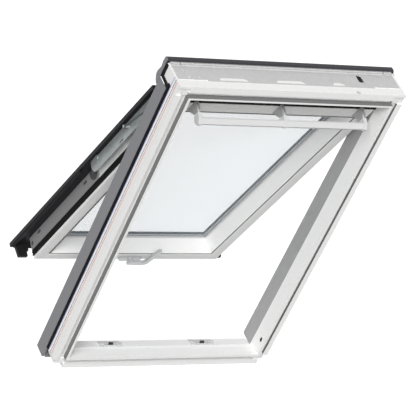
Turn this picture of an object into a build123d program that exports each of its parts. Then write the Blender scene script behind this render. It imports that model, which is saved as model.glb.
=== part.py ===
from build123d import *
import os
from math import cos, radians, sin

# Roof window with an outward opening sash on two side arms, drawn part-open as it is used.
# Millimetres. u runs across the window, s up its slope and n outward from the room face.
# The part stands upright: u is +X, n is +Y and s is +Z. The origin is the middle of the
# lower outer face, where the sill screws go in.
os.makedirs("parts", exist_ok=True)

ORIGIN_N = 25.0
ORIGIN_S = -34.0

# Top hinge line of the arms, and how far the sash stands open in the drawn pose
HINGE_S = 1034.0
HINGE_N = 100.0
OPEN_ANGLE = 19.63

# Half-way pivot on which the sash turns over for cleaning, in closed-sash places
PIVOT_S = 594.0
PIVOT_N = 107.5
PIVOT_R = 3.2
PIN_PLAY = 0.05

# Frame widths and depths
FRAME_HALF = 390.0
STRIP_IN = 372.0
GROOVE_IN = 352.6
CLEAR_HALF = 344.0
LIP_N = -10.0
GROOVE_N = 10.0
SLOT_HALF = 366.0
SLOT_N = 57.5
FRAME_N = 104.0
STRIP_THICK = 1.2
SIDE_LOW = 3.0
SIDE_HIGH = 1094.0
SILL_S = -34.0
HEAD_S = 1128.0
HEAD_CLEAR_S = 1088.0
CLAD_HALF = 394.0
CLAD_THICK = 1.5

# Sash widths and depths
SASH_HALF = 337.0
SASH_LOW = 17.0
SASH_CORNER = 1039.0
SASH_HIGH = 1080.0
SASH_N = 45.0
COVER_UNDER = 116.3
COVER_N = 118.0
GLASS_EDGE = 45.0
PROFILE_DEPTH = 61.0
GASKET_HALF = 343.4

SIDES = (("right", 1), ("left", -1))


def up_way(tilt):
    return Vector(0, -sin(radians(tilt)), cos(radians(tilt)))


def out_way(tilt):
    return Vector(0, cos(radians(tilt)), sin(radians(tilt)))


def place(u, n, s, tilt=0.0):
    """Row-frame place of (u, n, s), turned open about the top hinge by tilt degrees."""
    hinge = Vector(0, HINGE_N - ORIGIN_N, HINGE_S - ORIGIN_S)
    return hinge + Vector(u, 0, 0) + up_way(tilt) * (s - HINGE_S) + out_way(tilt) * (n - HINGE_N)


def along(s, tilt=0.0):
    """Cross-section plane with (u, n) axes; an extrusion runs up the slope."""
    return Plane(origin=place(0, 0, s, tilt), x_dir=(1, 0, 0), z_dir=up_way(tilt))


def across(u, tilt=0.0):
    """Side-view plane with (s, n) axes; an extrusion runs toward -u."""
    return Plane(origin=place(u, 0, 0, tilt), x_dir=up_way(tilt), z_dir=(-1, 0, 0))


def facing(n, tilt=0.0):
    """Room-side plane with (u, s) axes; an extrusion runs toward the room."""
    return Plane(origin=place(0, n, 0, tilt), x_dir=(1, 0, 0), z_dir=out_way(tilt) * -1)


def prism(plane, outline, length, mode=Mode.ADD):
    """Extrude a closed straight-sided outline inside the current part."""
    with BuildSketch(plane) as section:
        with BuildLine():
            Polyline(*outline, close=True)
        make_face()
    extrude(section.sketch, amount=length, mode=mode)


def disc(plane, centre, radius, length, mode=Mode.ADD):
    """Extrude a round boss, or cut a round hole, inside the current part."""
    with BuildSketch(plane) as section:
        with Locations(centre):
            Circle(radius)
    extrude(section.sketch, amount=length, mode=mode)


def nut(plane, centre, radius, length):
    """Extrude a hexagonal rivet head or collar inside the current part."""
    with BuildSketch(plane) as section:
        with Locations(centre):
            RegularPolygon(radius, 6)
    extrude(section.sketch, amount=length)


def flip(outline, side):
    return [(side * u, v) for u, v in outline]


def span(side, inner, outer):
    """Higher edge and width of a stretch between two distances from the middle."""
    return max(side * inner, side * outer), outer - inner


def save(piece, name):
    piece.part.label = name
    export_step(piece.part, f"parts/{name}.step")


# Side members of the frame: white foam-moulded profile with a room-side strip, lining
# groove and lip, a slot for the arm on the outside and two fine lines on the outer face.
SIDE_SECTION = [
    (FRAME_HALF, 0), (STRIP_IN, 0), (STRIP_IN, GROOVE_N), (GROOVE_IN, GROOVE_N),
    (GROOVE_IN, LIP_N), (CLEAR_HALF, LIP_N), (CLEAR_HALF, 48),
    (CLEAR_HALF + STRIP_THICK, 48), (CLEAR_HALF + STRIP_THICK, FRAME_N),
    (SLOT_HALF, FRAME_N), (SLOT_HALF, SLOT_N), (386, SLOT_N), (386, 46), (FRAME_HALF, 46),
    (FRAME_HALF, 36), (389, 35.4), (389, 34.6), (FRAME_HALF, 34),
    (FRAME_HALF, 26.1), (389.4, 25.6), (FRAME_HALF, 25.1),
]
LIP_CORNER = [(SIDE_LOW, LIP_N - 1), (SASH_LOW, LIP_N), (13.4, GROOVE_N), (SIDE_LOW, GROOVE_N)]
LATCH_HOLE_S = 66.0
LATCH_HOLE_N = 11.0
SCREW_R = 2.25
SIDE_SCREWS = (180.0, 920.0)
SIDE_SCREW_N = 15.0
for name, side in SIDES:
    with BuildPart() as frame_side:
        prism(along(SIDE_LOW), flip(SIDE_SECTION, side), SIDE_HIGH - SIDE_LOW)
        high, wide = span(side, SLOT_HALF, FRAME_HALF)
        prism(across(high), [(1080, SLOT_N), (SIDE_HIGH, SLOT_N), (SIDE_HIGH, FRAME_N),
                             (1080, FRAME_N)], wide)
        high, wide = span(side, CLEAR_HALF, GROOVE_IN)
        prism(across(high), LIP_CORNER, wide, Mode.SUBTRACT)
        prism(across(FRAME_HALF), [(SIDE_LOW, 96), (5.7, FRAME_N), (SIDE_LOW, FRAME_N)],
              2 * FRAME_HALF, Mode.SUBTRACT)
        for screw_s in SIDE_SCREWS:
            high, wide = span(side, FRAME_HALF - 30, FRAME_HALF)
            disc(across(high), (screw_s, SIDE_SCREW_N), SCREW_R, wide, Mode.SUBTRACT)
        if side > 0:
            with BuildSketch(across(CLEAR_HALF + 6)) as latch:
                with Locations((LATCH_HOLE_S, LATCH_HOLE_N)):
                    SlotOverall(18, 10)
            extrude(latch.sketch, amount=6, mode=Mode.SUBTRACT)
    save(frame_side, f"frame_side_{name}")

# Grey lining strip let into each side reveal beside the sash
for name, side in SIDES:
    with BuildPart() as reveal_strip:
        prism(along(SIDE_LOW), flip([(CLEAR_HALF, 48), (CLEAR_HALF + STRIP_THICK, 48),
                                     (CLEAR_HALF + STRIP_THICK, FRAME_N), (CLEAR_HALF, FRAME_N)],
                                    side), HEAD_CLEAR_S - SIDE_LOW)
        prism(across(FRAME_HALF), [(SIDE_LOW, 96), (5.7, FRAME_N), (SIDE_LOW, FRAME_N)],
              2 * FRAME_HALF, Mode.SUBTRACT)
    save(reveal_strip, f"reveal_strip_{name}")

# Sill member: the same strip, groove and lip, then a reveal that falls outward
SILL_SECTION = [
    (SILL_S, 0), (-27.6, 0), (-27, 0.7), (-26.4, 0), (-11.5, 0), (-11.5, 9.5), (8.5, 9.5),
    (8.5, LIP_N), (SASH_LOW, LIP_N), (9, 35), (8.4, 46.5), (6.7, 48), (-2.3, 80), (-2.3, 84),
    (SILL_S, 84),
]
SILL_SCREWS = 300.0
STRIP_ENDS = (("right", 1, 365.0), ("left", -1, 346.0))
with BuildPart() as frame_bottom:
    prism(across(CLEAR_HALF), SILL_SECTION, 2 * CLEAR_HALF)
    for name, side, strip_end in STRIP_ENDS:
        prism(facing(58), flip([(CLEAR_HALF, -17), (380, -17), (380, SIDE_LOW),
                                (CLEAR_HALF, SIDE_LOW)], side), 53)
        prism(facing(58), flip([(CLEAR_HALF, SILL_S), (strip_end, SILL_S), (strip_end, -17),
                                (CLEAR_HALF, -17)], side), 58)
        high, wide = span(side, CLEAR_HALF, GROOVE_IN)
        prism(across(high), [(8.5, LIP_N), (SASH_LOW, LIP_N), (13.4, GROOVE_N), (8.5, GROOVE_N)],
              wide)
        disc(along(SILL_S), (side * SILL_SCREWS, ORIGIN_N), SCREW_R, 28, Mode.SUBTRACT)
save(frame_bottom, "frame_bottom")

# Head member: strip, groove and lip below, screw holes in its upper face, and the pocket
# behind the slotted hole of the head plate
HEAD_SECTION = [
    (HEAD_S, 0), (1106, 0), (1106, GROOVE_N), (SIDE_HIGH, GROOVE_N), (SIDE_HIGH, LIP_N),
    (HEAD_CLEAR_S, LIP_N), (HEAD_CLEAR_S, FRAME_N), (HEAD_S, FRAME_N),
]
HEAD_HOLES = ((-353, 17, 2.0), (-331, 14, 3.5), (-308, 6, 1.6), (322, 14, 2.6))
HEAD_SLOT = (254.5, 69.0)
SLOT_WIDE = 19.0
SLOT_TALL = 32.0
SLOT_ROUND = 6.0
HEAD_SCREW = (222.0, 8.2)
HEAD_LINE = [(1127.3, 3.2), (HEAD_S + 1, 2.6), (HEAD_S + 1, 3.8)]
END_LINE = [(1127.5, 6.4), (HEAD_S + 1, 5.9), (HEAD_S + 1, 6.9)]
PLATE_TAILS = ((-383, -286), (291, 381))
PLATE_SLITS = (-352, 350)
with BuildPart() as frame_top:
    prism(across(CLEAR_HALF), HEAD_SECTION, 2 * CLEAR_HALF)
    for name, side in SIDES:
        prism(facing(FRAME_N), flip([(GROOVE_IN, SIDE_HIGH), (FRAME_HALF, SIDE_HIGH),
                                     (FRAME_HALF, 1121), (GROOVE_IN, 1121)], side), FRAME_N - 5)
        prism(facing(FRAME_N), flip([(CLEAR_HALF, SIDE_HIGH), (GROOVE_IN, SIDE_HIGH),
                                     (GROOVE_IN, 1106), (CLEAR_HALF, 1106)], side),
              FRAME_N - GROOVE_N)
        prism(facing(FRAME_N), flip([(CLEAR_HALF, 1106), (GROOVE_IN, 1106),
                                     (GROOVE_IN, 1121), (CLEAR_HALF, 1121)], side), FRAME_N)
        prism(facing(FRAME_N), flip([(CLEAR_HALF, 1121), (FRAME_HALF, 1121),
                                     (FRAME_HALF, HEAD_S), (CLEAR_HALF, HEAD_S)], side), FRAME_N)
        prism(across(max(side * 335, side * 391)), END_LINE, 56, Mode.SUBTRACT)
    prism(across(391), HEAD_LINE, 782, Mode.SUBTRACT)
    for hole_u, hole_n, hole_r in HEAD_HOLES:
        disc(along(HEAD_S - 12), (hole_u, hole_n), hole_r, 13, Mode.SUBTRACT)
    disc(along(HEAD_S - 3), HEAD_SCREW, 7.6, 4, Mode.SUBTRACT)
    for tail_low, tail_high in PLATE_TAILS:
        prism(along(HEAD_S - 1.5), [(tail_low, 30.5), (tail_high, 30.5), (tail_high, 34.6),
                                    (tail_low, 34.6)], 3, Mode.SUBTRACT)
    for slit_u in PLATE_SLITS:
        prism(along(HEAD_S - 3), [(slit_u - 1.5, 58), (slit_u + 1.5, 58), (slit_u + 1.5, 95),
                                  (slit_u - 1.5, 95)], 4, Mode.SUBTRACT)
    with BuildSketch(along(HEAD_S - 8)) as pocket:
        with Locations(HEAD_SLOT):
            RectangleRounded(SLOT_WIDE, SLOT_TALL, SLOT_ROUND)
    extrude(pocket.sketch, amount=9, mode=Mode.SUBTRACT)
save(frame_top, "frame_top")

# Screw head sunk in the head member, with a cross recess
with BuildPart() as head_screw:
    disc(along(HEAD_S - 3), HEAD_SCREW, 6.2, 2.6)
    with BuildSketch(along(HEAD_S - 1.4)) as recess:
        with Locations(HEAD_SCREW):
            Rectangle(6, 1.4)
            Rectangle(1.4, 6)
    extrude(recess.sketch, amount=2, mode=Mode.SUBTRACT)
save(head_screw, "head_screw")

# Dark latch box seen through the slotted hole of the head plate
with BuildPart() as head_latch:
    with BuildSketch(along(HEAD_S - 8)) as box_face:
        with Locations(HEAD_SLOT):
            RectangleRounded(SLOT_WIDE - 0.6, SLOT_TALL - 0.6, SLOT_ROUND)
    extrude(box_face.sketch, amount=7)
save(head_latch, "head_latch")

# Stepped metal head plate with three pressed openings, a slotted hole, end slits and dimples
PLATE_SECTION = [
    (HEAD_S, 29), (1129.5, 29), (1129.5, 91), (1132, 93.5), (1132, 97), (1134, 99.5),
    (1134, 106), (HEAD_S, 106),
]
LOUVRES = ((-245, -146), (-52, 49), (144, 189))
with BuildPart() as head_plate:
    prism(across(381), PLATE_SECTION, 764)
    for low_u, high_u in LOUVRES:
        prism(along(HEAD_S - 1), [(low_u, 34), (low_u + 2, 41), (low_u + 9, 46),
                                  (high_u - 16, 46), (high_u - 6, 41), (high_u, 34)],
              4, Mode.SUBTRACT)
    with BuildSketch(along(HEAD_S - 1)) as slot_hole:
        with Locations(HEAD_SLOT):
            RectangleRounded(SLOT_WIDE, SLOT_TALL, SLOT_ROUND)
    extrude(slot_hole.sketch, amount=4, mode=Mode.SUBTRACT)
    for slit_u in PLATE_SLITS:
        prism(along(HEAD_S - 1), [(slit_u - 1.5, 58), (slit_u + 1.5, 58), (slit_u + 1.5, 107),
                                  (slit_u - 1.5, 107)], 9, Mode.SUBTRACT)
    for tail_low, tail_high in PLATE_TAILS:
        prism(along(HEAD_S - 1), [(tail_low - 1, 28), (tail_high, 28), (tail_high, 35),
                                  (tail_low - 1, 35)], 4, Mode.SUBTRACT)
    for dimple_u in (-342, -307, 318):
        with BuildSketch(along(1129.5)) as dimple:
            with Locations((dimple_u, 46)):
                Circle(3.2)
        extrude(dimple.sketch, amount=1.2, taper=40)
    with BuildSketch(along(1129.5)) as rib:
        with Locations((223, 77)):
            Rectangle(6, 38)
    extrude(rib.sketch, amount=1.6, taper=30)
save(head_plate, "head_plate")

# Black weather strip along the outer faces of the frame, turned up round the cladding end
# and on under the edge of the hood
STRIP_SECTION = [
    (386, 46), (FRAME_HALF, 46), (FRAME_HALF, 44), (393.2, 44.6), (392.4, 47), (393.5, 49),
    (392.6, 51), (393.5, 53), (392.6, 55.6), (386, 56),
]
for name, side in SIDES:
    with BuildPart() as frame_gasket:
        prism(along(SIDE_LOW), flip(STRIP_SECTION, side), SIDE_HIGH - SIDE_LOW)
        high, wide = span(side, FRAME_HALF, 392)
        prism(across(high), [(1075.5, 55), (1088, 55), (1090, 92.5), (HEAD_S, 92.5),
                             (HEAD_S, FRAME_N), (1078.5, FRAME_N)], wide)
    save(frame_gasket, f"frame_gasket_{name}")

# Grey metal side cladding: a web standing off the frame and a foot on the weather strip
CLAD_SECTION = [
    (386, 56), (CLAD_HALF, 56), (CLAD_HALF, FRAME_N), (CLAD_HALF - CLAD_THICK, FRAME_N),
    (CLAD_HALF - CLAD_THICK, SLOT_N), (386, SLOT_N),
]
CLIP_OUTLINE = [(1033, 101), (1027, 73), (1031, 71), (1058, 81), (1057, 84), (1034, 76), (1039, 101)]
for name, side in SIDES:
    with BuildPart() as frame_cladding:
        prism(along(-40), flip(CLAD_SECTION, side), 1116)
        prism(across(CLAD_HALF + 1), [(1073, 50), (1080, 50), (1080, FRAME_N + 1),
                                      (1076, FRAME_N + 1)], 2 * CLAD_HALF + 2, Mode.SUBTRACT)
        high, wide = span(side, CLAD_HALF - 0.5, CLAD_HALF + 1)
        prism(across(high), CLIP_OUTLINE, wide, Mode.SUBTRACT)
    save(frame_cladding, f"frame_cladding_{name}")

# Metal sill cladding folded over the outer edge of the sill member
with BuildPart() as frame_cladding_bottom:
    prism(across(386), [(-38, 50), (SILL_S, 50), (SILL_S, 51.5), (-36.5, 51.5), (-36.5, 84),
                        (-24, 84), (-24, 85.5), (-38, 85.5)], 772)
save(frame_cladding_bottom, "frame_cladding_bottom")

# Strikers on the sill reveal that the sash lock hooks behind
for name, low_u, high_u in (("left", -208, -129), ("right", 123, 207)):
    with BuildPart() as striker:
        prism(across(high_u), [(6.7, 48), (-1.175, 76), (1.2, 76.8), (4.6, 65), (9.5, 64),
                               (11.5, 61), (12, 51), (10.5, 48.4)], high_u - low_u)
        middle = (low_u + high_u) / 2
        prism(across(middle + 22), [(7.9, 50), (3.4, 66), (14, 66), (14, 50)], 44,
              Mode.SUBTRACT)
        for end_u in (low_u, high_u - 14):
            prism(across(end_u + 14), [(8.6, 47), (6.4, 55.5), (14, 57), (14, 47)], 14,
                  Mode.SUBTRACT)
    save(striker, f"striker_{name}")

# Places of the pressed steel side arms across the window and outward
ARM_IN = 369.0
ARM_OUT = 372.0
ARM_LOW_N = 72.9
ARM_HIGH_N = 111.0
ARM_END = (572.8, 97.4)
ARM_END_R = 24.5
HINGE_R = 4.0

# Hinge plates for the arms, screwed to the slot wall near the head
for name, side in SIDES:
    with BuildPart() as hinge_plate:
        high, wide = span(side, SLOT_HALF, ARM_IN - 0.3)
        prism(across(high), [(996, 60), (1066, 60), (1066, 74), (1046, 96), (1022, 96),
                             (996, 80)], wide)
        disc(across(high), (HINGE_S, HINGE_N), 9.5, wide)
        high, wide = span(side, ARM_IN - 0.3, ARM_OUT + 0.3)
        disc(across(high), (HINGE_S, HINGE_N), HINGE_R, wide)
        high, wide = span(side, ARM_OUT + 0.3, ARM_OUT + 2.3)
        nut(across(high), (HINGE_S, HINGE_N), 7, wide)
    save(hinge_plate, f"hinge_plate_{name}")

# Dark hood over the head: bent sheet with a down-turned nose, and shaped end cheeks
HOOD_SECTION = [
    (1062, 124.5), (1068, 127.5), (1078, 128), (1103, 119), (1121, 122), (1139, 119.5),
    (1142, 116), (1142, 103.5), (1134, 103.5), (1134, 105), (1140.5, 105), (1140.5, 115.5),
    (1138, 118), (1121, 120.5), (1103, 117.4), (1078, 126.4), (1068, 126), (1062, 123),
]
CHEEK_OUTLINE = [
    (1142, 103.5), (1142, 116), (1139, 119.5), (1121, 122), (1103, 119), (1078, 128),
    (1068, 127.5), (1062, 124.5), (1053, 118), (1047, 110), (1047, 105), (1134, 105),
    (1134, 103.5),
]
NOSE_CORNER = [(386, 1144), (396, 1144), (396, 1126)]
with BuildPart() as hood:
    prism(across(CLAD_HALF - CLAD_THICK), HOOD_SECTION, 2 * (CLAD_HALF - CLAD_THICK))
    for name, side in SIDES:
        high, wide = span(side, CLAD_HALF - CLAD_THICK, CLAD_HALF)
        prism(across(high), CHEEK_OUTLINE, wide)
    prism(facing(130), NOSE_CORNER, 40, Mode.SUBTRACT)
save(hood, "hood")

# Black plastic rail that carries the hood on the head member
with BuildPart() as hood_rail:
    prism(across(376), [(1092, FRAME_N), (1124, FRAME_N), (1124, 106), (1105, 106),
                        (1105, 117.744), (1103, 117.4), (1101, 118.12), (1101, 106),
                        (1092, 106)], 752)
save(hood_rail, "hood_rail")

# Arms: pressed steel side arms from the head hinge down to the half-way pivot
ROD_PIN_S = 813.0
ROD_PIN_N = 95.0
ROD_PIN_R = 3.0
for name, side in SIDES:
    high, wide = span(side, ARM_IN, ARM_OUT)
    with BuildPart() as arm:
        prism(across(high, OPEN_ANGLE), [(ARM_END[0], ARM_LOW_N), (1034, ARM_LOW_N), (1050, 84),
                                         (1050, 105), (1044, ARM_HIGH_N),
                                         (ARM_END[0], ARM_HIGH_N)], wide)
        with BuildSketch(across(high, OPEN_ANGLE)) as arm_end:
            with Locations(ARM_END):
                Circle(ARM_END_R)
            with Locations((ARM_END[0], 115 + ARM_END_R)):
                Rectangle(3 * ARM_END_R, 2 * ARM_END_R, mode=Mode.SUBTRACT)
        extrude(arm_end.sketch, amount=wide)
        disc(across(high, OPEN_ANGLE), (PIVOT_S, PIVOT_N), 7.5, wide)
        disc(across(high, OPEN_ANGLE), (HINGE_S, HINGE_N), HINGE_R + PIN_PLAY, wide,
             Mode.SUBTRACT)
        disc(across(high, OPEN_ANGLE), (679, 103), 4.5, wide, Mode.SUBTRACT)
        with BuildSketch(across(high, OPEN_ANGLE)) as arm_slot:
            with Locations((750, 80)):
                SlotOverall(27, 5)
        extrude(arm_slot.sketch, amount=wide, mode=Mode.SUBTRACT)
        disc(across(high, OPEN_ANGLE), (ROD_PIN_S, ROD_PIN_N), ROD_PIN_R + PIN_PLAY, wide,
             Mode.SUBTRACT)
        disc(across(high, OPEN_ANGLE), (PIVOT_S, PIVOT_N), PIVOT_R + PIN_PLAY, wide,
             Mode.SUBTRACT)
    save(arm, f"arm_{name}")

# Half-way pivot pins, fixed in the arms and running in the sash side members
with BuildPart() as pivot_pins:
    for name, side in SIDES:
        high, wide = span(side, 324, ARM_OUT)
        disc(across(high, OPEN_ANGLE), (PIVOT_S, PIVOT_N), PIVOT_R, wide)
        high, wide = span(side, ARM_OUT, ARM_OUT + 2.5)
        nut(across(high, OPEN_ANGLE), (PIVOT_S, PIVOT_N), 6, wide)
save(pivot_pins, "pivot_pins")

# Upper side covers, carried by the arms on a black ribbed plastic strip
SPLIT_LOW = 511.0
SPLIT_HIGH = 512.0
COVER_TOP_END = 1022.0
for name, side in SIDES:
    with BuildPart() as cover_upper:
        prism(along(SPLIT_HIGH, OPEN_ANGLE),
              flip([(344.5, 116.8), (392.5, 116.8), (392.5, 106), (CLAD_HALF, 106),
                    (CLAD_HALF, COVER_N), (344.5, COVER_N)], side), COVER_TOP_END - SPLIT_HIGH)
    save(cover_upper, f"cover_upper_{name}")
    with BuildPart() as cover_carrier:
        high, wide = span(side, SLOT_HALF, 389)
        teeth = []
        for step in range(39):
            tooth_s = 620 + 10 * step
            teeth += [(tooth_s, 113), (tooth_s + 2, 111), (tooth_s + 8, 111)]
        teeth += [(1010, 113), (1010, 116.8)]
        prism(across(high, OPEN_ANGLE), [(620, 116.8)] + teeth, wide)
    save(cover_carrier, f"cover_carrier_{name}")

# Side link rods: hinged on the arms, their lower ends run inside the cladding
ROD_LENGTH = 198.0
ROD_SLOPE = 28.4
for name, side in SIDES:
    high, wide = span(side, 387, 391)
    with BuildPart() as link_rod:
        pin_place = place(high, ROD_PIN_N, ROD_PIN_S, OPEN_ANGLE)
        rod_plane = Plane(origin=pin_place, x_dir=up_way(ROD_SLOPE), z_dir=(-1, 0, 0))
        with BuildSketch(rod_plane) as rod_face:
            Circle(6)
            with Locations((ROD_LENGTH / 2, 0)):
                Rectangle(ROD_LENGTH, 4)
            Circle(ROD_PIN_R + PIN_PLAY, mode=Mode.SUBTRACT)
        extrude(rod_face.sketch, amount=wide)
    save(link_rod, f"link_rod_{name}")

# Rivets that hold the link rods on the arms
with BuildPart() as rod_pins:
    for name, side in SIDES:
        high, wide = span(side, ARM_IN - 1.2, 391)
        disc(across(high, OPEN_ANGLE), (ROD_PIN_S, ROD_PIN_N), ROD_PIN_R, wide)
        for near, far in ((ARM_IN - 1.2, ARM_IN), (ARM_OUT, 387), (391, 392.2)):
            high, wide = span(side, near, far)
            nut(across(high, OPEN_ANGLE), (ROD_PIN_S, ROD_PIN_N), 5, wide)
save(rod_pins, "rod_pins")

# Sash members: room face, small facet, shadow groove, long bevel and glazing rebate,
# drawn by distance in from the outer edge
PROFILE = [
    (0, SASH_N), (27, SASH_N), (35, 46.5), (35, 50), (41, 50), (41, 46), (56, 93), (56, 96),
    (44, 96), (44, COVER_UNDER), (0, COVER_UNDER),
]
INNER_HALF = SASH_HALF - PROFILE_DEPTH
INNER_LOW = SASH_LOW + PROFILE_DEPTH
INNER_HIGH = SASH_CORNER - PROFILE_DEPTH
for name, side in SIDES:
    with BuildPart() as sash_side:
        prism(along(SASH_LOW, OPEN_ANGLE),
              [(side * (SASH_HALF - edge), n) for edge, n in PROFILE], SASH_CORNER - SASH_LOW)
        prism(facing(130, OPEN_ANGLE), flip([(SASH_HALF, SASH_LOW), (SASH_HALF, SASH_CORNER),
                                             (INNER_HALF, INNER_HIGH), (INNER_HALF, INNER_LOW)],
                                            side), 100, Mode.INTERSECT)
        high, wide = span(side, 322, SASH_HALF)
        disc(across(high, OPEN_ANGLE), (PIVOT_S, PIVOT_N), PIVOT_R + PIN_PLAY, wide,
             Mode.SUBTRACT)
    save(sash_side, f"sash_side_{name}")

with BuildPart() as sash_bottom:
    prism(across(SASH_HALF, OPEN_ANGLE), [(SASH_LOW + edge, n) for edge, n in PROFILE],
          2 * SASH_HALF)
    prism(facing(130, OPEN_ANGLE), [(-SASH_HALF, SASH_LOW), (SASH_HALF, SASH_LOW),
                                    (INNER_HALF, INNER_LOW), (-INNER_HALF, INNER_LOW)], 100,
          Mode.INTERSECT)
save(sash_bottom, "sash_bottom")

# Head rail of the sash: taller, with a rebate for the black head gasket
HEAD_PROFILE = [(SASH_CORNER - edge, n) for edge, n in PROFILE[1:-1]]
with BuildPart() as sash_top:
    prism(across(SASH_HALF, OPEN_ANGLE),
          [(1053, SASH_N)] + HEAD_PROFILE + [(1078, COVER_UNDER), (1078, 52), (1053, 52)],
          2 * SASH_HALF)
    prism(facing(130, OPEN_ANGLE), [(-SASH_HALF, 1079), (SASH_HALF, 1079),
                                    (SASH_HALF, SASH_CORNER), (INNER_HALF, INNER_HIGH),
                                    (-INNER_HALF, INNER_HIGH), (-SASH_HALF, SASH_CORNER)], 100,
          Mode.INTERSECT)
save(sash_top, "sash_top")

with BuildPart() as sash_gasket_top:
    prism(across(GASKET_HALF - 1, OPEN_ANGLE),
          [(1053, 46.5), (1060, 46.5), (1061.5, 49), (1063, 46.5), (1071, 46.5), (1073, 49),
           (1073, 52), (1053, 52)], 2 * (GASKET_HALF - 1))
save(sash_gasket_top, "sash_gasket_top")

# Double-lipped black side gaskets
for name, side in SIDES:
    with BuildPart() as sash_gasket:
        prism(along(SASH_LOW + 3, OPEN_ANGLE),
              flip([(SASH_HALF, 54), (340.5, 54), (GASKET_HALF, 56.5), (340.5, 59),
                    (340.5, 63), (GASKET_HALF, 66), (340.5, 69), (340.5, 73),
                    (SASH_HALF, 73)], side), 1033)
    save(sash_gasket, f"sash_gasket_{name}")

# Dark plastic side panels on the lower half, with clips, a plug and the round guide disc
DISC_S = 505.0
DISC_N = 104.0
for name, side in SIDES:
    high, wide = span(side, SASH_HALF, 340)
    with BuildPart() as side_panel:
        prism(across(high, OPEN_ANGLE), [(19, 74), (519, 74), (530, 84), (530, COVER_UNDER),
                                         (19, COVER_UNDER)], wide)
        high, wide = span(side, 340, 341.5)
        for clip_s, clip_n in ((440, 101), (93, 105)):
            prism(across(high, OPEN_ANGLE), [(clip_s - 12, clip_n - 4), (clip_s + 12, clip_n - 4),
                                             (clip_s + 9, clip_n + 4), (clip_s - 9, clip_n + 4)],
                  wide)
        disc(across(high, OPEN_ANGLE), (34, 92), 7, wide)
        high, wide = span(side, 340, GASKET_HALF)
        with BuildSketch(across(high, OPEN_ANGLE)) as guide_disc:
            with Locations((DISC_S, DISC_N)):
                Circle(24)
                Rectangle(20, 5, mode=Mode.SUBTRACT)
            with Locations((DISC_S, COVER_UNDER + 10)):
                Rectangle(60, 20, mode=Mode.SUBTRACT)
        extrude(guide_disc.sketch, amount=wide)
    save(side_panel, f"side_panel_{name}")

# Sash cladding: metal covers that lap over the glass edge all round
CLAD_INNER = 50.0
CLAD_OUT = 343.0
LAP_HALF = SASH_HALF - CLAD_INNER
LAP_LOW = SASH_LOW + CLAD_INNER
LAP_HIGH = SASH_CORNER - CLAD_INNER
for name, side in SIDES:
    with BuildPart() as sash_cladding:
        prism(facing(COVER_N, OPEN_ANGLE), flip([(LAP_HALF, LAP_LOW), (CLAD_OUT, LAP_LOW),
                                                 (CLAD_OUT, LAP_HIGH), (LAP_HALF, LAP_HIGH)],
                                                side), COVER_N - COVER_UNDER)
    save(sash_cladding, f"sash_cladding_{name}")

with BuildPart() as cover_bottom:
    prism(across(CLAD_OUT, OPEN_ANGLE), [(-20, 100), (-18.5, 100), (-18.5, COVER_UNDER),
                                         (LAP_LOW, COVER_UNDER), (LAP_LOW, COVER_N),
                                         (-20, COVER_N)], 2 * CLAD_OUT)
save(cover_bottom, "cover_bottom")

with BuildPart() as cover_top:
    prism(across(CLAD_OUT, OPEN_ANGLE), [(LAP_HIGH, COVER_UNDER), (1078.5, COVER_UNDER),
                                         (1078.5, 96), (SASH_HIGH, 96), (SASH_HIGH, COVER_N),
                                         (LAP_HIGH, COVER_N)], 2 * CLAD_OUT)
save(cover_top, "cover_top")

# Lower side covers with their black carriers and end caps, fixed to the sash
for name, side in SIDES:
    with BuildPart() as cover_lower:
        prism(along(-20, OPEN_ANGLE),
              flip([(CLAD_OUT, COVER_UNDER), (392.5, COVER_UNDER), (392.5, 106),
                    (CLAD_HALF, 106), (CLAD_HALF, COVER_N), (CLAD_OUT, COVER_N)], side),
              SPLIT_LOW + 20)
        high, wide = span(side, CLAD_OUT, CLAD_HALF)
        prism(across(high, OPEN_ANGLE), [(-20, 104), (-18.5, 104), (-18.5, COVER_N),
                                         (-20, COVER_N)], wide)
    save(cover_lower, f"cover_lower_{name}")
    with BuildPart() as lower_carrier:
        prism(along(-4, OPEN_ANGLE),
              flip([(381, COVER_UNDER), (382, 101), (389.5, 100), (390, 103), (388.6, 104),
                    (390.4, 106), (388.8, 108), (391, 110), (391, COVER_UNDER)], side), 508)
    save(lower_carrier, f"lower_carrier_{name}")
    with BuildPart() as end_cap:
        prism(along(-18.5, OPEN_ANGLE),
              flip([(345, 66), (376, 66), (380, 100), (391, 106), (391, COVER_UNDER),
                    (338, COVER_UNDER), (338, 86), (345, 86)], side), 12.5)
    save(end_cap, f"end_cap_{name}")

# Glass unit: two panes on a spacer ring, held on a grey glazing gasket
PANE_HALF = SASH_HALF - GLASS_EDGE
PANE_LOW = SASH_LOW + GLASS_EDGE
PANE_HIGH = SASH_CORNER - GLASS_EDGE


def frame_ring(n_high, thick, outer, inner):
    """Rectangular ring in the sash plane, given by distances in from the sash edge."""
    low, high = SASH_LOW, SASH_CORNER
    middle = (low + high) / 2
    with BuildSketch(facing(n_high, OPEN_ANGLE)) as ring:
        with Locations((0, middle)):
            Rectangle(2 * (SASH_HALF - outer), high - low - 2 * outer)
            if inner:
                Rectangle(2 * (SASH_HALF - inner), high - low - 2 * inner, mode=Mode.SUBTRACT)
    extrude(ring.sketch, amount=thick)


with BuildPart() as pane_inner:
    frame_ring(102, 4, GLASS_EDGE, 0)
save(pane_inner, "pane_inner")

with BuildPart() as spacer:
    frame_ring(112, 10, GLASS_EDGE, 67)
save(spacer, "spacer")

with BuildPart() as pane_outer:
    frame_ring(COVER_UNDER, COVER_UNDER - 112, GLASS_EDGE, 0)
save(pane_outer, "pane_outer")

with BuildPart() as glazing_gasket:
    frame_ring(98, 2, 44, 60)
    frame_ring(96, 2, 56, 60)
save(glazing_gasket, "glazing_gasket")

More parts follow.
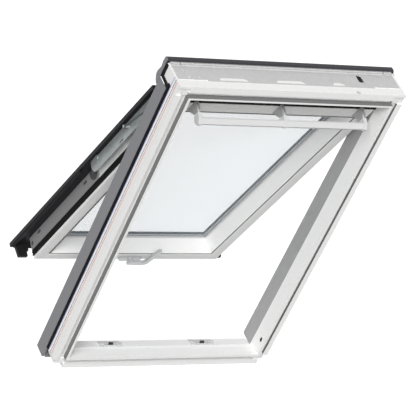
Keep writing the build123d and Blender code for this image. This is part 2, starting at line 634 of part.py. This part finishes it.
# Sash handle: rounded lock plate on the lower rail and an L-shaped pull lever on a boss
HANDLE_U = -3.0
HANDLE_S = 38.0
with BuildPart() as handle_plate:
    with BuildSketch(facing(SASH_N, OPEN_ANGLE)) as plate_face:
        with Locations((3, 30)):
            RectangleRounded(80, 25, 9)
    extrude(plate_face.sketch, amount=8)
save(handle_plate, "handle_plate")

LEVER_OUTLINE = [
    (-15, 31), (44, 27), (56, 34), (60, 44), (71, 124), (67, 130), (58, 130), (46, 56), (41, 46),
    (-12, 51), (-17, 42),
]
with BuildPart() as handle_lever:
    disc(facing(37, OPEN_ANGLE), (HANDLE_U, HANDLE_S + 2), 9, 14)
    prism(facing(26, OPEN_ANGLE), LEVER_OUTLINE, 9)
save(handle_lever, "handle_lever")

# Ventilation bar: three forked feet on the head rail and a pull bar that swings in them
VENT_S = 1052.0
VENT_N = 34.0
VENT_PIN_R = 2.5
BRACKETS = (-286.0, 5.0, 286.0)
CHEEK = [(1064, SASH_N), (1014, SASH_N), (1019, 37), (1034, 21), (1041, 13), (1063, 13), (1066, 22)]
BAR_ARM = [
    (1040, 8.9), (1034, -11), (1043, -23), (1053, -25), (1064, -9), (1065.5, 8.9),
]
for name, middle in zip(("left", "middle", "right"), BRACKETS):
    with BuildPart() as vent_foot:
        prism(across(middle + 6, OPEN_ANGLE), CHEEK, 12)
        prism(across(middle + 3, OPEN_ANGLE), [(1010, 43), (1070, 43), (1070, 5), (1010, 5)], 6,
              Mode.SUBTRACT)
        disc(across(middle + 6, OPEN_ANGLE), (VENT_S, VENT_N), VENT_PIN_R, 12)
    save(vent_foot, f"vent_foot_{name}")

with BuildPart() as vent_bar:
    prism(across(286, OPEN_ANGLE), [(1037, -5), (1036, -12), (1043.5, -21), (1053, -23),
                                    (1061, -9), (1060, -4), (1052, -6), (1044, -3)], 572)
    for middle in BRACKETS:
        prism(across(middle + 6, OPEN_ANGLE), BAR_ARM, 12)
        prism(across(middle + 2.9, OPEN_ANGLE), [(1045, 8), (1062, 8), (1059, VENT_N),
                                                 (1044.5, VENT_N)], 5.8)
        disc(across(middle + 2.9, OPEN_ANGLE), (VENT_S, VENT_N), 7.5, 5.8)
        disc(across(middle + 2.9, OPEN_ANGLE), (VENT_S, VENT_N), VENT_PIN_R + PIN_PLAY, 5.8,
             Mode.SUBTRACT)
save(vent_bar, "vent_bar")
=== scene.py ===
import math

import bmesh
import bpy
from mathutils import Matrix, Vector


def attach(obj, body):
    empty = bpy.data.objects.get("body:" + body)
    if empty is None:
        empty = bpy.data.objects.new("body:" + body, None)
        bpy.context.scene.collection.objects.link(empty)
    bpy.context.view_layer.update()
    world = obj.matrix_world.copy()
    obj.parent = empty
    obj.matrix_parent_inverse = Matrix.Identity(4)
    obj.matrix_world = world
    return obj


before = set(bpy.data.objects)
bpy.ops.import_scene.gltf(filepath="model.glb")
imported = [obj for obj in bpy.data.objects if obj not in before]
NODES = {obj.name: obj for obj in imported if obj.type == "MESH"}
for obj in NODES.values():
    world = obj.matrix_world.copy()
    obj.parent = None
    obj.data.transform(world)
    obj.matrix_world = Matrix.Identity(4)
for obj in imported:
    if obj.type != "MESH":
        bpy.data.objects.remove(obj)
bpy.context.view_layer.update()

# White frame members: a timber core moulded in satin white polyurethane foam. The walls of the
# groove that takes the wall lining are painted grey as shade, and the latch hole in the right
# reveal is painted dark inside as shade. Setting lines, red, hatched grey and blue, are printed up
# the outer faces.


class Sock:
    """One shader socket; sums written on it add the Math nodes they need."""

    def __init__(self, tree, out):
        self.tree, self.out = tree, out

    def node(self, kind, out, settings=None, **inputs):
        made = self.tree.nodes.new(kind)
        for key, value in (settings or {}).items():
            setattr(made, key, value)
        for key, value in inputs.items():
            key = int(key[1:]) if key[0] == "_" else key.replace("_", " ")
            join(self.tree, value, made.inputs[key])
        return Sock(self.tree, made.outputs[out])

    def calc(self, how, *others):
        made = self.tree.nodes.new("ShaderNodeMath")
        made.operation = how
        for slot, value in zip(made.inputs, (self, *others)):
            join(self.tree, value, slot)
        return Sock(self.tree, made.outputs[0])

    def __add__(self, other):
        return self.calc("ADD", other)

    def __radd__(self, other):
        return self.calc("ADD", other)

    def __sub__(self, other):
        return self.calc("SUBTRACT", other)

    def __rsub__(self, other):
        return (self * -1.0).calc("ADD", other)

    def __mul__(self, other):
        return self.calc("MULTIPLY", other)

    def __rmul__(self, other):
        return self.calc("MULTIPLY", other)

    def __truediv__(self, other):
        return self.calc("DIVIDE", other)

    def __abs__(self):
        return self.calc("ABSOLUTE")

    def above(self, limit):
        return self.calc("GREATER_THAN", limit)

    def below(self, limit):
        return self.calc("LESS_THAN", limit)

    def within(self, low, high):
        return self.above(low) * self.below(high)

    def ramp(self, low, high):
        return self.node("ShaderNodeMapRange", 0, {"clamp": True}, _0=self, _1=low, _2=high)

    def mix(self, one, two):
        made = self.tree.nodes.new("ShaderNodeMix")
        made.data_type = "RGBA"
        for slot, value in ((0, self), (6, one), (7, two)):
            join(self.tree, value, made.inputs[slot])
        return Sock(self.tree, made.outputs[2])


def join(tree, value, slot):
    """Link a socket, or set a plain number or colour, on a node's input."""
    if isinstance(value, Sock):
        tree.links.new(value.out, slot)
    elif isinstance(value, tuple) and len(value) == 3 and len(slot.default_value) == 4:
        slot.default_value = (*value, 1.0)
    else:
        slot.default_value = value


def shade(red, green, blue):
    """Linear colour of one given as 0 to 255 display levels."""
    return tuple(v / 12.92 if v < 0.04045 else ((v + 0.055) / 1.055) ** 2.4
                 for v in (red / 255, green / 255, blue / 255))


def grey(level):
    return shade(level, level, level)


def material(name, colour, rough=0.5, metal=0.0, shine=0.5):
    """Plain surface material; returns it with its shader node and object coordinates."""
    made = bpy.data.materials.new(name)
    made.use_nodes = True
    tree = made.node_tree
    face = tree.nodes["Principled BSDF"]
    for key, value in (("Base Color", colour), ("Roughness", rough), ("Metallic", metal),
                       ("Specular IOR Level", shine)):
        join(tree, value, face.inputs[key])
    made.diffuse_color = (*colour, 1.0)
    place = Sock(tree, tree.nodes.new("ShaderNodeTexCoord").outputs["Object"])
    split = tree.nodes.new("ShaderNodeSeparateXYZ")
    tree.links.new(place.out, split.inputs[0])
    axes = [Sock(tree, split.outputs[i]) for i in range(3)]
    return made, face, place, axes


def drive(face, key, value):
    join(face.id_data, value, face.inputs[key])


def noise(place, scale, detail=2.0):
    """Soft uneven spots, about as many to the metre as the scale says."""
    return place.node("ShaderNodeTexNoise", 0, Vector=place, Scale=scale, Detail=detail)


def varied(colour, spot, amount=0.03):
    """A colour that drifts a little lighter and darker with a noise value."""
    dark = tuple(v * (1 - amount) for v in colour)
    light = tuple(min(1.0, v * (1 + amount)) for v in colour)
    return spot.ramp(0.3, 0.7).mix(dark, light)


def texture(face, place, size, height, stretch=(1.0, 1.0, 1.0)):
    """Fine surface relief of a finish: grain of the given size and height in millimetres."""
    spread = place.node("ShaderNodeMapping", 0, Vector=place, Scale=stretch)
    relief = noise(spread, 1000.0 / size)
    bump = relief.node("ShaderNodeBump", 0, Height=relief, Strength=0.35, Distance=height / 1000)
    drive(face, "Normal", bump)


def dress(names, made):
    """Give CAD pieces a material."""
    for name in names:
        data = NODES[name].data
        data.materials.clear()
        data.materials.append(made)


def both(stem):
    return [stem + "_left", stem + "_right"]


# Places are given as on the window itself, in millimetres: u across, n outward, s up the slope.
ORIGIN_N, ORIGIN_S = 25.0, -34.0


def window_axes(axes):
    """u, n and s from the object coordinates of a fixed frame piece."""
    x, y, z = axes
    return x * 1000, y * 1000 + ORIGIN_N, z * 1000 + ORIGIN_S


WHITE = shade(240, 240, 239)
# Painted shade: a grey that stands for the shade on groove walls, in the frame and the sash.
GROOVE_SHADE = grey(122)
GROOVE_N = (-9.4, 9.6)
GROOVE_S = (8, 1106)
LIP_BACK_U = (352.2, 353.3)
SILL_LIP_BACK_S = (8.2, 8.9)
HEAD_LIP_BACK_S = (1093.6, 1094.3)
LIP_HALF = 353
CLADDING_WALL_U = (371.5, 372.4)
CLADDING_WALL_N = 0.5
LATCH_HOLE_U, LATCH_HOLE_S, LATCH_HOLE_N = (344.3, 357), (55, 77), (4, 18)
# Painted shade: the inside of the latch hole is coloured dark.
LATCH_HOLE_SHADE = grey(60)
PRINTED_FROM_U, PRINTED_TO_S = 388.6, 1127
HATCH_PITCH, HATCH_GAP = 7.0, 0.35
RED_LINE_N, RED_INK = (20.8, 23.8), shade(226, 150, 150)
HATCH_LINE_N, HATCH_INK = (29.0, 32.5), grey(40)
BLUE_LINE_N, BLUE_INK = (41.0, 44.0), shade(150, 152, 205)

foam, face, place, axes = material("white frame foam", WHITE, rough=0.42, shine=0.25)
u, n, s = window_axes(axes)
grain = noise(place, 90.0, 3.0)
# Mask of the painted groove shade: the back walls of the lips and the cladding wall of the groove.
lip_back = abs(u).within(*LIP_BACK_U) * s.within(*GROOVE_S)
end_lip_back = s.within(*SILL_LIP_BACK_S) + s.within(*HEAD_LIP_BACK_S)
lip_back = lip_back.calc("MAXIMUM", end_lip_back * abs(u).below(LIP_HALF))
cladding_wall = abs(u).within(*CLADDING_WALL_U) * s.within(*GROOVE_S) * n.above(CLADDING_WALL_N)
groove_shade = lip_back.calc("MAXIMUM", cladding_wall) * n.within(*GROOVE_N)
latch_hole = u.within(*LATCH_HOLE_U) * s.within(*LATCH_HOLE_S) * n.within(*LATCH_HOLE_N)
printed = abs(u).above(PRINTED_FROM_U) * s.below(PRINTED_TO_S)
hatch = (s / HATCH_PITCH).calc("FRACT").above(HATCH_GAP)
# Painted shade: the groove walls are coloured grey.
colour = groove_shade.mix(varied(WHITE, grain, 0.015), GROOVE_SHADE)
# Painted shade in the latch hole.
colour = latch_hole.mix(colour, LATCH_HOLE_SHADE)
colour = (n.within(*RED_LINE_N) * printed).mix(colour, RED_INK)
colour = (n.within(*HATCH_LINE_N) * printed * hatch).mix(colour, HATCH_INK)
colour = (n.within(*BLUE_LINE_N) * printed).mix(colour, BLUE_INK)
drive(face, "Base Color", colour)
drive(face, "Roughness", 0.37 + 0.1 * grain)
texture(face, place, size=1.2, height=0.05)
dress([*both("frame_side"), "frame_top", "frame_bottom"], foam)

# White sash members: the same foam over timber, cut to mitres at the corners and joined. They
# carry no print. The narrow groove that runs round their room side is painted grey inside as
# shade.
# The sash is drawn turned open about the head hinge, and its places are those of the closed one.
HINGE_S, HINGE_N, OPEN = 1034.0, 100.0, math.radians(19.63)
SASH_HALF, SASH_LOW, SASH_CORNER = 337.0, 17.0, 1039.0
SHADOW_GROOVE_IN, SHADOW_GROOVE_N = (34.9, 41.1), (46.6, 50.4)


def sash_axes(axes):
    """u, n and s on the closed sash from the object coordinates of a sash piece."""
    u, n, s = window_axes(axes)
    out, rise = n - HINGE_N, s - HINGE_S
    return (u, out * math.cos(OPEN) + rise * math.sin(OPEN) + HINGE_N,
            rise * math.cos(OPEN) - out * math.sin(OPEN) + HINGE_S)


sash_foam, face, place, axes = material("white sash foam", WHITE, rough=0.4, shine=0.25)
u, n, s = sash_axes(axes)
grain = noise(place, 90.0, 3.0)
edge = (SASH_HALF - abs(u)).calc("MINIMUM", s - SASH_LOW).calc("MINIMUM", SASH_CORNER - s)
# Painted shade: the walls and floor of the sash's narrow groove are coloured grey.
sash_groove_shade = edge.within(*SHADOW_GROOVE_IN) * n.within(*SHADOW_GROOVE_N)
drive(face, "Base Color", sash_groove_shade.mix(varied(WHITE, grain, 0.015), GROOVE_SHADE))
drive(face, "Roughness", 0.35 + 0.1 * grain)
texture(face, place, size=1.2, height=0.05)
dress([*both("sash_side"), "sash_top", "sash_bottom"], sash_foam)

# Lining strips in the side reveals: brushed aluminium, its fine streaks running up the slope,
# pressed into the side members.
STREAK_DARK, STREAK_LIGHT = grey(146), grey(170)
strip, face, place, axes = material("brushed reveal strip", grey(158), rough=0.45, metal=0.2)
stretch = place.node("ShaderNodeMapping", 0, Vector=place, Scale=(1.0, 60.0, 2.0))
streak = noise(stretch, 12.0, 4.0)
drive(face, "Base Color", streak.ramp(0.3, 0.7).mix(STREAK_DARK, STREAK_LIGHT))
drive(face, "Roughness", 0.4 + 0.12 * streak)
texture(face, place, size=1.5, height=0.04, stretch=(1.0, 1.0, 0.03))
dress(both("reveal_strip"), strip)

# Weather strips of the frame and seals of the sash: black extruded rubber, pushed into slots.
# The rubber is matt and a little uneven.
RUBBER = grey(16)
rubber, face, place, axes = material("black rubber", RUBBER, rough=0.6, shine=0.08)
grain = noise(place, 200.0)
drive(face, "Base Color", varied(RUBBER, grain, 0.2))
drive(face, "Roughness", 0.5 + 0.2 * grain)
texture(face, place, size=0.9, height=0.06)
dress([*both("frame_gasket"), *both("sash_gasket"), "sash_gasket_top"], rubber)

# Frame cladding: folded aluminium in a mid-grey lacquer, clipped over the members' outer
# edges.
# This grey also serves as painted light on the hood's end cheeks.
MID_LACQUER_AND_CHEEK_LIGHT = shade(132, 132, 136)
clad, face, place, axes = material("grey lacquered cladding", MID_LACQUER_AND_CHEEK_LIGHT, rough=0.5, shine=0.2)
grain = noise(place, 300.0)
drive(face, "Base Color", varied(MID_LACQUER_AND_CHEEK_LIGHT, grain, 0.03))
drive(face, "Roughness", 0.42 + 0.12 * grain)
texture(face, place, size=0.7, height=0.03)
dress([*both("frame_cladding"), "frame_cladding_bottom"], clad)

# Hood over the head: the same folded metal in a darker lacquer, screwed to its rail. Its
# pressed end cheeks carry painted light: they are coloured in the lighter grey of the frame
# cladding.
DARK_LACQUER = shade(62, 62, 66)
CHEEK_FROM_U = 393.6
hood, face, place, axes = material("dark lacquered hood", DARK_LACQUER, rough=0.45, shine=0.15)
grain = noise(place, 300.0)
u, n, s = window_axes(axes)
# Painted light: the end cheeks are coloured lighter than the hood.
cheek_light = abs(u).above(CHEEK_FROM_U)
drive(face, "Base Color", cheek_light.mix(varied(DARK_LACQUER, grain, 0.04), MID_LACQUER_AND_CHEEK_LIGHT))
drive(face, "Roughness", 0.38 + 0.12 * grain)
texture(face, place, size=0.7, height=0.03)
dress(["hood"], hood)

# Sash covers: folded aluminium in a dark grey lacquer, split half-way up so that the sash can
# turn over, and screwed along the sash and the arms.
COVER_LACQUER = shade(44, 44, 47)
cover, face, place, axes = material("dark grey sash cover", COVER_LACQUER, rough=0.45, shine=0.06)
grain = noise(place, 300.0)
drive(face, "Base Color", varied(COVER_LACQUER, grain, 0.06))
drive(face, "Roughness", 0.38 + 0.12 * grain)
texture(face, place, size=0.7, height=0.03)
dress([*both("cover_upper"), *both("cover_lower"), *both("sash_cladding"), "cover_bottom",
       "cover_top"], cover)

# Cover carriers, end caps, hood rail and latch box: black moulded plastic, clipped under the
# metal covers.
BLACK_PLASTIC = grey(28)
plastic, face, place, axes = material("black plastic", BLACK_PLASTIC, rough=0.5, shine=0.12)
grain = noise(place, 150.0)
drive(face, "Base Color", varied(BLACK_PLASTIC, grain, 0.08))
drive(face, "Roughness", 0.43 + 0.15 * grain)
texture(face, place, size=0.8, height=0.04)
dress([*both("cover_carrier"), *both("lower_carrier"), *both("end_cap"), "hood_rail",
       "head_latch"], plastic)

# Side panels of the sash: grey moulded plastic, fixed to the outer faces of the side members.
# Their clips, plug and guide disc stand up from the panel and are a darker grey.
PANEL, PANEL_RAISED = grey(142), grey(84)
RAISED_FROM_U = 340.6
panel, face, place, axes = material("grey side panel", PANEL, rough=0.5, shine=0.2)
u, n, s = sash_axes(axes)
grain = noise(place, 150.0)
raised = abs(u).above(RAISED_FROM_U)
drive(face, "Base Color", raised.mix(varied(PANEL, grain, 0.04), PANEL_RAISED))
drive(face, "Roughness", 0.43 + 0.15 * grain)
texture(face, place, size=0.8, height=0.04)
dress(both("side_panel"), panel)

# Head plate: galvanised sheet, stepped, slit and pressed into louvres, screwed to the head.
# The zinc shows faint crystals, each a little lighter or darker than the next.
CRYSTAL_DARK, CRYSTAL_LIGHT = grey(193), grey(202)
plate, face, place, axes = material("galvanised head plate", grey(198), rough=0.42, metal=0.3)
crystal = place.node("ShaderNodeTexVoronoi", 1, Vector=place, Scale=110.0)
tone = crystal.node("ShaderNodeRGBToBW", 0, Color=crystal)
drive(face, "Base Color", tone.mix(CRYSTAL_DARK, CRYSTAL_LIGHT))
drive(face, "Roughness", 0.34 + 0.12 * tone)
texture(face, place, size=2.5, height=0.04)
dress(["head_plate"], plate)

# Arms, hinge plates and pins: pressed or turned steel, zinc plated, with the same faint
# mottle.
ZINC, ZINC_DARK, ZINC_LIGHT = shade(160, 166, 166), shade(154, 160, 160), shade(167, 173, 173)
zinc, face, place, axes = material("zinc plated steel", ZINC, rough=0.42, metal=0.4)
mottle = noise(place, 55.0, 3.0)
drive(face, "Base Color", mottle.ramp(0.3, 0.7).mix(ZINC_DARK, ZINC_LIGHT))
drive(face, "Roughness", 0.36 + 0.12 * mottle)
texture(face, place, size=1.5, height=0.04)
dress([*both("arm"), *both("hinge_plate"), "rod_pins", "pivot_pins"], zinc)

# Strikers on the sill reveal and the head screw: small pieces of steel with a bright zinc
# plating, screwed in place.
BRIGHT_ZINC = grey(206)
bright, face, place, axes = material("bright zinc", BRIGHT_ZINC, rough=0.38, metal=0.3)
mottle = noise(place, 55.0, 3.0)
drive(face, "Base Color", varied(BRIGHT_ZINC, mottle, 0.05))
drive(face, "Roughness", 0.32 + 0.12 * mottle)
texture(face, place, size=1.2, height=0.03)
dress([*both("striker"), "head_screw"], bright)

# Screws that hold each striker to the sill: round zinc heads with a sunk middle, seated on the
# striker's leaning pads, one at either end.
STRIKERS = (("left", -208, -129), ("right", 123, 207))
SCREW_FROM_END = 7
PAD_N, PAD_S, PAD_LEAN = 51.2, 7.5, math.atan2(2.2, 8.5)
HEAD_FOOT_R, HEAD_CROWN_R, HEAD_HEIGHT, HEAD_RAISE = 0.0034, 0.0026, 0.0014, 0.0006
HEAD_RIM, HEAD_SUNK = 0.0009, 0.0007


def at(u, n, s):
    """Scene place, in metres, of a place on the frame."""
    return Vector((u, n - ORIGIN_N, s - ORIGIN_S)) / 1000


def keep(mesh, name, made, body):
    """Turn a finished bmesh into a named piece that rides on a body."""
    bmesh.ops.recalc_face_normals(mesh, faces=mesh.faces)
    data = bpy.data.meshes.new(name)
    mesh.to_mesh(data)
    mesh.free()
    data.materials.append(made)
    piece = bpy.data.objects.new(name, data)
    bpy.context.scene.collection.objects.link(piece)
    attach(piece, body)


for name, low_u, high_u in STRIKERS:
    for end, screw_u in (("inner", low_u + SCREW_FROM_END), ("outer", high_u - SCREW_FROM_END)):
        head = bmesh.new()
        bmesh.ops.create_cone(head, cap_ends=True, segments=20, radius1=HEAD_FOOT_R,
                              radius2=HEAD_CROWN_R, depth=HEAD_HEIGHT)
        crown = max(head.faces, key=lambda cap: cap.calc_center_median().z)
        bmesh.ops.inset_individual(head, faces=[crown], thickness=HEAD_RIM)
        bmesh.ops.translate(head, verts=crown.verts, vec=(0, 0, -HEAD_SUNK))
        turn = Matrix.Rotation(-PAD_LEAN, 4, "X")
        seat = at(screw_u, PAD_N, PAD_S) + turn @ Vector((0, 0, HEAD_RAISE))
        bmesh.ops.transform(head, matrix=Matrix.Translation(seat) @ turn, verts=head.verts)
        keep(head, f"striker_screw_{name}_{end}", bright, "frame")

# Hook plate in the middle of each striker, which the sash lock draws against: a small folded
# tab of dark steel standing in the striker's notch.
HOOK_STEEL = grey(58)
HOOK_N, HOOK_S = 56.5, 8.6
HOOK_SIZE, HOOK_LIP, HOOK_ROUND = (0.016, 0.0022, 0.0075), (0, 0.0035, 0.0012), 0.0003
hook, face, place, axes = material("dark steel hook", HOOK_STEEL, rough=0.45, metal=0.3, shine=0.3)
mottle = noise(place, 120.0)
drive(face, "Base Color", varied(HOOK_STEEL, mottle, 0.08))
drive(face, "Roughness", 0.4 + 0.12 * mottle)
for name, low_u, high_u in STRIKERS:
    tab = bmesh.new()
    bmesh.ops.create_cube(tab, size=1.0)
    bmesh.ops.scale(tab, vec=HOOK_SIZE, verts=tab.verts)
    top = max(tab.faces, key=lambda side: side.calc_center_median().z)
    lip = bmesh.ops.extrude_discrete_faces(tab, faces=[top])["faces"][0]
    bmesh.ops.translate(tab, verts=lip.verts, vec=HOOK_LIP)
    bmesh.ops.bevel(tab, geom=tab.edges[:], offset=HOOK_ROUND, segments=2, affect="EDGES",
                    profile=0.5, material=-1)
    bmesh.ops.translate(tab, verts=tab.verts, vec=at((low_u + high_u) / 2, HOOK_N, HOOK_S))
    keep(tab, f"striker_hook_{name}", hook, "frame")

# Link rods: flat steel bars, painted dark and riveted to the arms. Their far ends run inside the
# frame's side cladding.
ROD_PAINT = shade(78, 82, 82)
rod, face, place, axes = material("dark link rod", ROD_PAINT, rough=0.45, metal=0.1, shine=0.2)
grain = noise(place, 150.0)
drive(face, "Base Color", varied(ROD_PAINT, grain, 0.05))
drive(face, "Roughness", 0.4 + 0.1 * grain)
texture(face, place, size=1.0, height=0.03)
dress(both("link_rod"), rod)

# Glass unit: two clear panes with a faint blue cast, held apart by the spacer and sealed at
# their edges.
GLASS_ALPHA = 0.14
glass, face, place, axes = material("window glass", shade(222, 234, 243), rough=0.05, shine=0.3)
face.inputs["Alpha"].default_value = GLASS_ALPHA
dress(["pane_inner", "pane_outer"], glass)

# Spacer between the panes: a metal section with a bright face on the room side, its wall
# coated dark.
SPACER_DARK, SPACER_BRIGHT, BRIGHT_TO_N = shade(44, 48, 51), grey(228), 102.4
spacer, face, place, axes = material("spacer", SPACER_DARK, rough=0.4, metal=0.1, shine=0.2)
u, n, s = sash_axes(axes)
grain = noise(place, 60.0)
drive(face, "Base Color", n.below(BRIGHT_TO_N).mix(SPACER_DARK, SPACER_BRIGHT))
drive(face, "Roughness", 0.35 + 0.1 * grain)
dress(["spacer"], spacer)

# Glazing gasket: a light grey rubber section, which beds the glass unit in the rebate of the
# sash.
LIGHT_RUBBER = grey(214)
gasket, face, place, axes = material("light grey glazing gasket", LIGHT_RUBBER, rough=0.6,
                                     shine=0.2)
grain = noise(place, 60.0)
drive(face, "Base Color", varied(LIGHT_RUBBER, grain, 0.03))
drive(face, "Roughness", 0.55 + 0.1 * grain)
texture(face, place, size=0.9, height=0.05)
dress(["glazing_gasket"], gasket)

# Ventilation bar: an aluminium section with a satin white coat, turning on small pins that
# stand out from its feet.
BAR_COAT = grey(208)
vent, face, place, axes = material("white ventilation bar", BAR_COAT, rough=0.35, shine=0.3)
grain = noise(place, 60.0)
drive(face, "Roughness", 0.3 + 0.1 * grain)
drive(face, "Base Color", varied(BAR_COAT, grain, 0.015))
texture(face, place, size=1.0, height=0.02, stretch=(0.05, 1.0, 1.0))
dress(["vent_bar"], vent)

# Feet of the ventilation bar: light grey moulded plastic, screwed to the sash head. They carry
# the pins that the bar turns on.
FOOT_PLASTIC = grey(164)
foot, face, place, axes = material("light grey foot", FOOT_PLASTIC, rough=0.45, shine=0.2)
grain = noise(place, 150.0)
drive(face, "Roughness", 0.4 + 0.1 * grain)
drive(face, "Base Color", varied(FOOT_PLASTIC, grain, 0.03))
texture(face, place, size=0.8, height=0.03)
dress(["vent_foot_left", "vent_foot_middle", "vent_foot_right"], foot)

# Pull lever and its lock plate: cast metal with a satin silver finish, screwed to the lower
# sash member.
SATIN_SILVER = shade(196, 197, 198)
handle, face, place, axes = material("satin silver handle", SATIN_SILVER, rough=0.35, metal=0.5)
grain = noise(place, 60.0)
drive(face, "Roughness", 0.3 + 0.1 * grain)
drive(face, "Base Color", varied(SATIN_SILVER, grain, 0.03))
texture(face, place, size=0.8, height=0.03)
dress(["handle_plate", "handle_lever"], handle)

# Floor well below the window: plain pale and matt, so it takes the soft shadow. It is lifted to
# white only where the camera, a reflection or the glass sees it.
AMBIENT = grey(138)
FLOOR_GLOW = (0.92, 0.92, 0.92)
FLOOR_HALF, FLOOR_Z = 30.0, -3.0
BLACK, FULL_WHITE = (0.0, 0.0, 0.0), (1.0, 1.0, 1.0)


def seen_directly(tree):
    """1 for camera, glossy and transmission rays, 0 for the rays that light the window."""
    path = tree.nodes.new("ShaderNodeLightPath")
    camera_ray, gloss_ray, through_ray = (
        Sock(tree, path.outputs[name])
        for name in ("Is Camera Ray", "Is Glossy Ray", "Is Transmission Ray"))
    return camera_ray.calc("MAXIMUM", gloss_ray).calc("MAXIMUM", through_ray)


floor_mesh = bmesh.new()
bmesh.ops.create_grid(floor_mesh, x_segments=1, y_segments=1, size=FLOOR_HALF)
bmesh.ops.translate(floor_mesh, verts=floor_mesh.verts, vec=(0, 0, FLOOR_Z))
floor_data = bpy.data.meshes.new("floor")
floor_mesh.to_mesh(floor_data)
floor_mesh.free()
floor = bpy.data.objects.new("floor", floor_data)
bpy.context.scene.collection.objects.link(floor)
pale, face, place, axes = material("pale floor", AMBIENT, rough=0.9)
drive(face, "Emission Color", seen_directly(face.id_data).mix(BLACK, FLOOR_GLOW))
face.inputs["Emission Strength"].default_value = 1.0
floor_data.materials.append(pale)

# Surroundings: a plain room that gives even light from all round, and is seen as white by the
# camera, in reflections and through the glass.
world = bpy.data.worlds.new("pale room")
bpy.context.scene.world = world
world.use_nodes = True
tree = world.node_tree
join(tree, seen_directly(tree).mix(AMBIENT, FULL_WHITE), tree.nodes["Background"].inputs["Color"])
tree.nodes["Background"].inputs["Strength"].default_value = 1.0

# Lamps: two broad soft ones, the key from above on the left, and a weaker one from the room
# side that fills the shade.


def lamp(name, strength, spread, source):
    light = bpy.data.lights.new(name, "SUN")
    light.energy, light.angle = strength, math.radians(spread)
    made = bpy.data.objects.new(name, light)
    made.rotation_mode = "QUATERNION"
    made.rotation_quaternion = Vector(source).to_track_quat("Z", "Y")
    bpy.context.scene.collection.objects.link(made)


lamp("key lamp", strength=3.2, spread=35, source=(-0.5, -0.52, 0.69))
lamp("fill lamp", strength=0.4, spread=60, source=(-0.62, -0.78, -0.05))

# Camera: its place, turn and lens are fitted to the edges of the window in the photo, so that
# the render lies over it.
camera = bpy.data.objects.new("camera", bpy.data.cameras.new("camera"))
bpy.context.scene.collection.objects.link(camera)
bpy.context.scene.camera = camera
camera.data.lens = 216.41
camera.data.sensor_width = 36.0
camera.data.clip_end = 100.0
camera.matrix_world = Matrix((
    (0.86225931, -0.01176727, -0.50633034, -3.8976995),
    (-0.35925774, 0.69046466, -0.62784746, -4.7255504),
    (0.35699125, 0.72327041, 0.5911321, 5.1196841),
    (0.0, 0.0, 0.0, 1.0),
))
bpy.context.scene.view_settings.view_transform = "Standard"
